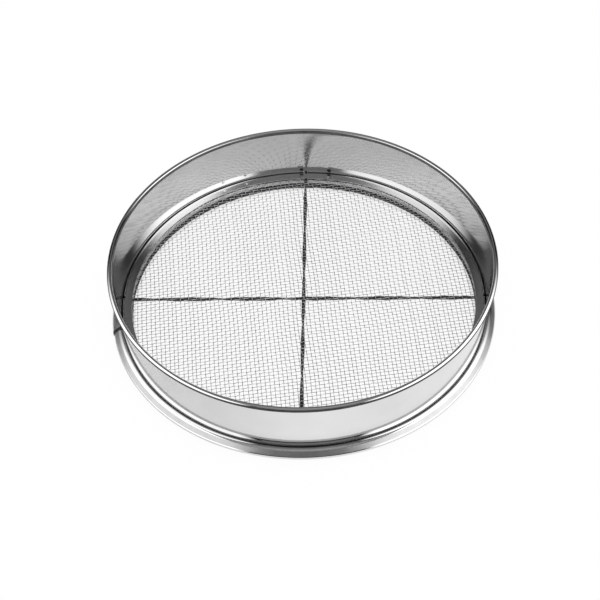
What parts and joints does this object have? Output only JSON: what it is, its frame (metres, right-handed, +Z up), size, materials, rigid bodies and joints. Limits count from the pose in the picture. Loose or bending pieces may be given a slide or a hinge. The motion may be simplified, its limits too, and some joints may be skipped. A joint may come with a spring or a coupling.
{
  "type": "kitchen sieve",
  "caption": "Round steel kitchen sieve: tapered hoop with a wired rim, rolled foot ring and a bound wire mesh over a cross of twisted support wires.",
  "frame": {"origin": "centre of the underside of the foot ring, on the surface that the sieve stands on", "axes": "+Z up along the axis of the hoop, +X and +Y along the two arms of the support cross"},
  "size_m": [0.307, 0.307, 0.058],
  "materials": {
    "polished_steel": "polished stainless sheet with faint rolling lines",
    "mesh_steel": "bright drawn stainless wire",
    "support_wire": "dull dark steel wire"
  },
  "bodies": {
    "root": {"hoop": "polished_steel", "rim_wire": "mesh_steel", "foot_ring": "polished_steel", "mesh_binding": "polished_steel", "wire_mesh": "mesh_steel", "cross_strand_x_1": "support_wire", "cross_strand_x_2": "support_wire", "cross_strand_y_1": "support_wire", "cross_strand_y_2": "support_wire"}
  },
  "joints": []
}
